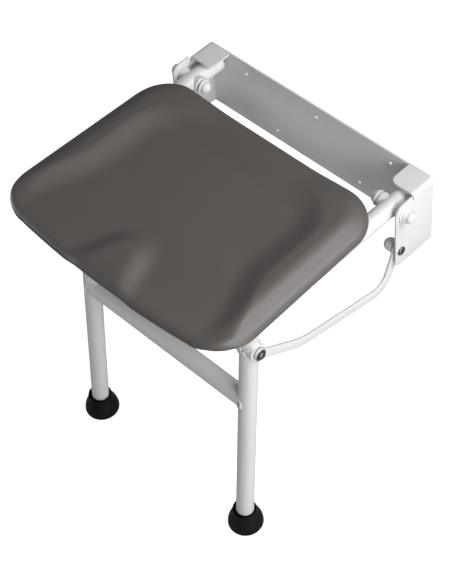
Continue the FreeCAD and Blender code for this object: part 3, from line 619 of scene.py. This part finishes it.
for name, side in SIDES:
    outer, inner = CLEVIS_OUT - STRAP_THICK, CLEVIS_IN + STRAP_THICK
    low, high = LEG_PIVOT.z - LEG_ABOVE, CLEVIS_TOP - STRAP_THICK
    corners = [(side * outer, LEG_PIVOT.y, low), (side * outer, LEG_PIVOT.y, high),
               (side * inner, LEG_PIVOT.y, high), (side * inner, LEG_PIVOT.y, low)]
    route = rounded(corners, [0, 3, 3, 0], 6)
    dense = []
    for p, q in zip(route, route[1:]):
        count = max(1, int((q - p).length))
        dense += [p.lerp(q, k / count) for k in range(count)]
    shell = strap(dense + [route[-1]], STRAP_HALF, STRAP_THICK, STRAP_CORNER)
    piece("clevis_" + name, [shell], paint, "seat", ["leg_clevis_" + name])
print("clevises ready")

# %% [markdown]
# ## The links
# Each link is a flat bar, 15 by 4 millimetres, bent twice when seen from the side and stepped
# sideways when seen from above, because the bracket's cheeks stand wider than the legs. We
# round the side view first, then look up the sideways place of every point.

# %%
REAR_X, FRONT_X = 194.4, 168.7
REAR_RUN, REAR_FALL, FRONT_RUN, FRONT_FALL = 21.8, 52.5, 74, 47
LINK_EYE = [(-2, 0), (-2, 8.2), (-1.7, 8.8), (-1.2, 9), (1.2, 9), (1.7, 8.8), (2, 8.2), (2, 0)]


def link_shells(side):
    a, d = LINK_PIVOT, STUB_PIVOT
    corners = [(0, a.y, a.z), (0, a.y - REAR_RUN, a.z - REAR_FALL),
               (0, d.y + FRONT_RUN, d.z - FRONT_FALL), (0, d.y, d.z)]
    route = rounded(corners, [0, 28, 30, 0], 14)
    dense = []
    for p, q in zip(route, route[1:]):
        count = max(1, int((q - p).length / 4))
        dense += [p.lerp(q, k / count) for k in range(count)]
    dense.append(route[-1])
    corners = [(a.y + 30, REAR_X, 0), (a.y - 43, REAR_X, 0), (a.y - 157, FRONT_X, 0), (d.y - 30, FRONT_X, 0)]
    plan = rounded(corners, [0, 20, 20, 0], 12)

    def sideways(y):
        for p, q in zip(plan, plan[1:]):
            if p.x >= y >= q.x:
                return p.y + (q.y - p.y) * (y - p.x) / (q.x - p.x)
        return plan[-1].y

    path = [Vector((side * sideways(p.y), p.y, p.z)) for p in dense]
    corners = [(-7.5, -2, 0), (7.5, -2, 0), (7.5, 2, 0), (-7.5, 2, 0)]
    section = [(p.x, p.y) for p in rounded_loop(corners, [0.9] * 4, 3)]
    shells = [swept(path, section)]
    for end in (path[0], path[-1]):
        shells.append(turned(LINK_EYE, end, (1, 0, 0)))
    return shells


for name, side in SIDES:
    bar = piece("link_bar_" + name, link_shells(side), paint, name + "_link", ["link_" + name])
print("link faces:", len(bar.data.polygons))

# %% [markdown]
# ## Turned caps and fasteners
# The hinge hides its steel behind white nylon: a ring and a dome outside the cheek, a bush
# between cheek and tube, a dished saddle and one more dome inside. All of them are turned
# shapes, so one profile each is enough. A screw is a shank with a low round head, and a hexagon
# is cut into the head.

# %%
def dome_profile(base, height, radius, skirt=0.3, steps=8):
    """Distance along and radius of a cap with a short straight skirt and a round crown."""
    profile = [(base, 0), (base, radius), (base + height * skirt, radius)]
    rise = height * (1 - skirt)
    for k in range(1, steps + 1):
        a = math.pi / 2 * k / steps
        profile.append((base + height * skirt + rise * math.sin(a), radius * math.cos(a)))
    return profile


def ring_profile(base, thick, radius, ease=0.7):
    top = base + thick
    return [(base, 0), (base, radius - ease * 0.5), (base + ease * 0.5, radius), (top - ease, radius),
            (top - ease * 0.3, radius - ease * 0.3), (top, radius - ease), (top, 0)]


def hexagon(across, base, height, start, along, ease=0.6):
    along = Vector(along)
    up = Vector((0, 0, 1))
    side = along.cross(up)
    reach = across / math.sqrt(3)
    corners = [(reach * math.cos(math.tau * k / 6), reach * math.sin(math.tau * k / 6), 0) for k in range(6)]
    loop = rounded_loop(corners, [0.5] * 6, 3)
    return flat([(p.x, p.y) for p in loop], base, base + height,
                lambda u, v, h: Vector(start) + along * h + side * u + up * v, ease)


def button(base, start, along, shank_from, radius=6.6, height=3.6, across=4.6):
    """A round screw head with a hexagon socket, and its shank."""
    head = turned(dome_profile(base, height, radius, 0.2, 7), start, along)
    socket = hexagon(across, base + height - 2.4, 4.0, start, along, 0)
    made = combine(cut_tool([head]), cut_tool([socket]), "DIFFERENCE")
    points = [v.co.copy() for v in made.data.vertices]
    faces = [list(f.vertices) for f in made.data.polygons]
    bpy.data.objects.remove(made)
    shank = turned([(shank_from, 0), (shank_from, 4), (base + 0.1, 4), (base + 0.1, 0)], start, along)
    return [(points, faces), shank]


outer_ring = [(202.05, 0), (202.05, 12.6), (202.4, 13), (203.5, 13), (204.05, 12.4), (204.1, 10.6),
              (204.5, 10.3), (208.3, 9.9), (209.0, 9.3), (209.05, 0)]
bush = [(180, 0), (180, 9.5), (184, 10), (198.1, 10), (198.8, 9.4), (198.9, 0)]
saddle = [(-178, 0), (-178, 11), (-163.2, 11.5), (-162.2, 10.6), (-162.1, 8.2), (-158.9, 8.2),
          (-158.6, 7.6), (-158.6, 0)]
for name, side in SIDES:
    out, centre = (side, 0, 0), Vector((0, HINGE.y, HINGE.z))
    back = (-side, 0, 0)
    flange_out = turned(outer_ring, centre, out)
    flange_in = turned(ring_profile(-158.5, 2, 11), centre, back)
    piece("hinge_rings_" + name, [flange_out, flange_in], white_plastic,
          "bracket", ["hinge_flanges_" + name])
    piece("hinge_dome_outer_" + name, [turned(dome_profile(209.05, 7.8, 8.4), centre, out)],
          white_plastic, "bracket", ["hinge_cap_outer_" + name])
    piece("hinge_dome_inner_" + name, [turned(dome_profile(-156.5, 8, 8.6), centre, back)],
          white_plastic, "bracket", ["hinge_cap_inner_" + name])
    piece("bush_" + name, [turned(bush, centre, out)], white_plastic, "seat", ["hinge_bush_" + name])
    piece("saddle_" + name, [turned(saddle, centre, back)], white_plastic, "seat", ["hinge_saddle_" + name])
print("hinge parts ready")

# %% [markdown]
# The links turn on button head screws. A thin washer lies on each side of a link. At the rear
# pivot the outer one is thicker, and fills the room up to the cheek.

# %%
WASHER_RADIUS = 8.5
STUB_HEAD = 171.8


def washer(base, thick, ease, start, out):
    return turned(ring_profile(base, thick, WASHER_RADIUS, ease), start, out)


for name, side in SIDES:
    out, back = (side, 0, 0), (-side, 0, 0)
    start = Vector((0, LINK_PIVOT.y, LINK_PIVOT.z))
    piece("link_screw_" + name, button(202.05, start, out, 191), zinc, "bracket", ["link_bolt_" + name])
    rings = [washer(196.45, 2.5, 0.4, start, out), washer(191.35, 1, 0.3, start, out)]
    piece("link_rings_" + name, rings, zinc, "bracket", ["link_washers_" + name])
    cap = [turned(dome_profile(-191.3, 16, 9.2, 0.42), start, back)]
    piece("link_dome_" + name, cap, white_plastic, "bracket", ["link_cap_" + name])
    start = Vector((0, STUB_PIVOT.y, STUB_PIVOT.z))
    screw = button(STUB_HEAD, start, out, 158, 5.8)
    piece("stub_head_" + name, screw, zinc, "leg_frame", ["stub_screw_" + name])
    rings = [washer(165.65, 1, 0.3, start, out), washer(170.75, 1, 0.3, start, out)]
    piece("stub_rings_" + name, rings, zinc, "leg_frame", ["stub_washers_" + name])
print("link screws ready")

# %% [markdown]
# ## Swivel feet
# The feet are moulded rubber: a bell with a wide rounded base and a thin collar round the
# leg's end. The profile carries a shallow groove under the collar.

# %%
BALL_HEIGHT = 25.0
bell = [(0, 0), (0, 22.4), (0.5, 23.8), (1.6, 25.0), (3.2, 25.6), (6, 25.5), (9, 25.1), (12, 24.5),
        (15, 23.6), (18, 22.4), (21, 21.0), (24, 19.6), (27, 18.5), (30, 17.7), (32.5, 17.3), (33, 16.9),
        (33.6, 16.9), (34.1, 17.25), (35.4, 17.2), (35.9, 16.95), (36, 16.6), (35.8, 16.35), (35, 16.3),
        (26.3, 16.3), (26.3, 0)]
distance = (LEG_PIVOT.z - FLOOR - BALL_HEIGHT) / math.cos(RAKE)
for name, side in SIDES:
    centre = on_leg(side * leg_x, distance)
    shell = turned(bell, (centre.x, centre.y, FLOOR), (0, 0, 1), 64)
    piece("foot_rubber_" + name, [shell], rubber, name + "_foot", ["foot_" + name])
print("feet ready")

# %% [markdown]
# ## The moulded pad
# The pad is foam with its own skin, so it has no seams and no cover. Its shape is one height
# rule over a rounded outline: a dish that widens to the front, raised rims that slope away on
# the outside, and a pommel between the thighs. The rule gives the height at any spot, and rings
# drawn inwards from the outline carry it.

# %%
PAD_FRONT, PAD_REAR = -403.4, -90.4
HALF_FRONT, HALF_REAR, CORNER, BOW = 208.3, 199.7, 58.0, 8.0
UNDER = 50.9
CREST, REAR_SAG, DISH_DROP = 77.0, 5.0, 11.5
DISH_HALF, DISH_FLARE, DISH_REAR, DISH_CORNER = 140.0, 34.0, 56.0, 44.0
POMMEL_HEIGHT, POMMEL_HALF, POMMEL_TAPER, POMMEL_LENGTH = 9.5, 47.0, 0.36, 98.0
ROLL_END, ROLL_SIDE = 9.0, 7.0


def ease(t):
    t = min(1.0, max(0.0, t))
    return t * t * (3 - 2 * t)


def half_width(y):
    share = (y - PAD_FRONT - BOW) / (PAD_REAR - PAD_FRONT - BOW)
    return HALF_FRONT + (HALF_REAR - HALF_FRONT) * share


def edge_distance(x, y):
    """How far a spot lies inside the outline."""
    bow = BOW * max(0.0, 1 - (x / (HALF_FRONT - CORNER)) ** 2)
    qx = abs(x) - half_width(y) + CORNER
    qy = max(PAD_FRONT + BOW - bow - y, y - PAD_REAR) + CORNER
    outside = math.hypot(max(qx, 0.0), max(qy, 0.0))
    return CORNER - outside - min(max(qx, qy), 0.0)


def sideness(x, y):
    """1 beside the left and right edges, 0 at front and rear, turning over round the corners."""
    qx = abs(x) - half_width(y) + CORNER
    qy = max(PAD_FRONT + BOW - y, y - PAD_REAR) + CORNER
    qx, qy = max(qx, 0.0), max(qy, 0.0)
    return qx * qx / max(1e-9, qx * qx + qy * qy)


def shoulder(depth_in, width, radius, slope):
    """Drop of a rounded shoulder: an arc from level, then straight on once it is steep enough."""
    run = max(0.0, width - depth_in)
    turn = radius * slope / math.hypot(1, slope)
    if run <= turn:
        return radius - math.sqrt(radius * radius - run * run)
    return radius - math.sqrt(radius * radius - turn * turn) + slope * (run - turn)


def dish_share(inside):
    """0 on the rim, 1 on the floor: a tight turn at the rim and a wide one at the floor."""
    t = min(1.0, max(0.0, (inside + 22) / 42))
    return ease(t ** 0.8)


def pad_top(x, y):
    """Height of the pad at a spot: the rim and dish, less the shoulders, plus the pommel."""
    front, rear = y - PAD_FRONT, PAD_REAR - y
    line = DISH_HALF + DISH_FLARE * ease((150 - front) / 120)
    qx, qy = abs(x) - line + DISH_CORNER, DISH_REAR + DISH_CORNER - rear
    inside = DISH_CORNER - math.hypot(max(qx, 0.0), max(qy, 0.0)) - min(max(qx, qy), 0.0)
    crest = CREST - REAR_SAG * ease((92 - rear) / 62) * ease((150 - abs(x)) / 80)
    height = crest + (CREST - DISH_DROP - crest) * dish_share(inside)
    depth_in = edge_distance(x, y)
    side = sideness(x, y)
    back = ease((60 - rear) / 60)
    height -= side * shoulder(depth_in, 35.0, 34.0, 0.55)
    height -= (1 - side) * back * shoulder(depth_in, 24.0, 30.0, 0.45)
    height -= (1 - side) * (1 - back) * shoulder(depth_in, 15.0, 40.0, 0.2)
    flank = POMMEL_HALF - POMMEL_TAPER * front
    pommel = POMMEL_HEIGHT * ease((flank + 18 - abs(x)) / 36) * ease((POMMEL_LENGTH - front) / 45)
    return height + pommel * (0.55 + 0.45 * ease(front / 30))


def pad_outline(count=360):
    """Points at equal steps round the rounded outline."""
    yf = PAD_FRONT + BOW
    corners = [(-HALF_FRONT, yf, 0), (HALF_FRONT, yf, 0),
               (HALF_REAR, PAD_REAR, 0), (-HALF_REAR, PAD_REAR, 0)]
    loop = rounded_loop(corners, [CORNER] * 4, 24)
    loop = loop + loop[:1]
    lengths = [0.0]
    for a, b in zip(loop, loop[1:]):
        lengths.append(lengths[-1] + (b - a).length)
    points, k = [], 0
    for i in range(count):
        want = lengths[-1] * i / count
        while lengths[k + 1] < want:
            k += 1
        t = (want - lengths[k]) / max(1e-9, lengths[k + 1] - lengths[k])
        p = loop[k].lerp(loop[k + 1], t)
        if p.y < yf + 1e-3:
            p.y -= BOW * max(0.0, 1 - (p.x / (HALF_FRONT - CORNER)) ** 2)
        points.append(p)
    return points


outline = pad_outline()
count = len(outline)
inward = []
for i in range(count):
    edge = outline[(i + 1) % count] - outline[i - 1]
    inward.append(Vector((-edge.y, edge.x, 0)).normalized())
centre = Vector((0, (PAD_FRONT + PAD_REAR) / 2, 0))


def ring(inset, height=None, share=1.0):
    spots = []
    for p, n in zip(outline, inward):
        q = p + n * inset
        q = centre + (q - centre) * share
        q.z = pad_top(q.x, q.y) if height is None else height(q.x, q.y)
        spots.append(q)
    return spots


def roll(p, a):
    """How far in and how far down the rounded upper edge lies, at an angle from level to upright."""
    size = ROLL_END - (ROLL_END - ROLL_SIDE) * sideness(p.x, p.y)
    return size * (1 - math.cos(a)), size * (1 - math.sin(a))


def roll_ring(a):
    spots = []
    for p, n in zip(outline, inward):
        inset, drop = roll(p, a)
        q = p + n * inset
        q.z = pad_top(q.x, q.y) - drop
        spots.append(q)
    return spots


rings = [[Vector((0, centre.y, 57.0))], ring(26.4, lambda x, y: 57.0), ring(26.0, lambda x, y: 56.6),
         ring(25.6, lambda x, y: UNDER + 0.3), ring(25.0, lambda x, y: UNDER), ring(9, lambda x, y: UNDER)]
for k in range(1, 6):
    a = math.pi / 2 * k / 6
    rings.append(ring(9 * (1 - math.sin(a)), lambda x, y, a=a: UNDER + 9.5 * (1 - math.cos(a))))
for k in range(0, 11):
    a = math.pi / 2 * k / 10
    rings.append(roll_ring(a))
for inset in list(range(10, 44, 1)) + list(range(44, 51, 2)):
    rings.append(ring(inset))
for k in range(1, 40):
    rings.append(ring(50, share=1 - k / 40))
rings.append([Vector((0, centre.y, pad_top(0, centre.y)))])
pad = piece("pad_foam", [stitch(rings)], skin, "seat", ["seat_pad"], 180)
print("pad faces:", len(pad.data.polygons))

# %% [markdown]
# ## Floor, light and camera
# The seat stands on plain white ground. Broad light comes from the right, low enough to model
# the pad's rims, and two weaker lamps near the floor reach the legs. The floor is a plain pale
# surface that adds light of its own for the camera only, so it doesn't light the seat.

# %%
floor_mesh = bpy.data.meshes.new("floor")
span = 6.0
ground_z = (FLOOR - 0.3) * MM
corners = [(-span, -span, ground_z), (span, -span, ground_z),
           (span, span, ground_z), (-span, span, ground_z)]
floor_mesh.from_pydata(corners, [], [(0, 1, 2, 3)])
floor = bpy.data.objects.new("floor", floor_mesh)
bpy.context.scene.collection.objects.link(floor)
ground = bpy.data.materials.new("ground")
ground.use_nodes = True
nodes, links = ground.node_tree.nodes, ground.node_tree.links
shader = nodes["Principled BSDF"]
shader.inputs["Base Color"].default_value = (0.4, 0.4, 0.4, 1)
shader.inputs["Specular IOR Level"].default_value = 0.0
shader.inputs["Roughness"].default_value = 0.9
rays = nodes.new("ShaderNodeLightPath")
gain = nodes.new("ShaderNodeMath")
gain.operation = "MULTIPLY"
gain.inputs[1].default_value = 0.95
links.new(rays.outputs["Is Camera Ray"], gain.inputs[0])
shader.inputs["Emission Color"].default_value = (1, 1, 1, 1)
links.new(gain.outputs["Value"], shader.inputs["Emission Strength"])
floor_mesh.materials.append(ground)


def lamp(name, place, target, size, power):
    data = bpy.data.lights.new(name, "AREA")
    data.shape = "DISK"
    data.size = size
    data.energy = power
    obj = bpy.data.objects.new(name, data)
    obj.location = place
    obj.rotation_euler = (Vector(target) - Vector(place)).to_track_quat("-Z", "Y").to_euler()
    bpy.context.scene.collection.objects.link(obj)


aim, low_aim = (0, -0.2, 0), (0, -0.2, -0.3)
lamp("key", (1.9, -0.85, 1.0), aim, 1.0, 24)
lamp("softbox", (1.25, 0.45, 1.4), aim, 1.2, 25)
lamp("low_left", (-1.35, -0.95, -0.3), low_aim, 0.9, 8)
lamp("low_right", (1.8, -0.5, -0.5), low_aim, 0.9, 13)
world = bpy.data.worlds.new("studio")
bpy.context.scene.world = world
world.use_nodes = True
world.node_tree.nodes["Background"].inputs["Color"].default_value = (1, 1, 1, 1)
world.node_tree.nodes["Background"].inputs["Strength"].default_value = 0.16

# %% [markdown]
# The camera looks down on the seat from the front right with a long lens, and is turned a
# little about its own line of sight.

# %%
camera_data = bpy.data.cameras.new("camera")
camera_data.lens = 103.17
camera = bpy.data.objects.new("camera", camera_data)
bpy.context.scene.collection.objects.link(camera)
ahead = Vector((-0.48323, 0.41757, -0.76950)).normalized()
right = ahead.cross(Vector((0, 0, 1))).normalized()
up = right.cross(ahead)
tilt = math.radians(-6.22)
side_axis = right * math.cos(tilt) + up * math.sin(tilt)
up_axis = up * math.cos(tilt) - right * math.sin(tilt)
turn = Matrix((side_axis, up_axis, -ahead)).transposed()
camera.matrix_world = Matrix.Translation(Vector((1.11294, -1.15684, 1.61988))) @ turn.to_4x4()
scene = bpy.context.scene
scene.camera = camera
scene.view_settings.view_transform = "Standard"
print("camera at", [round(c, 2) for c in camera.matrix_world.translation])
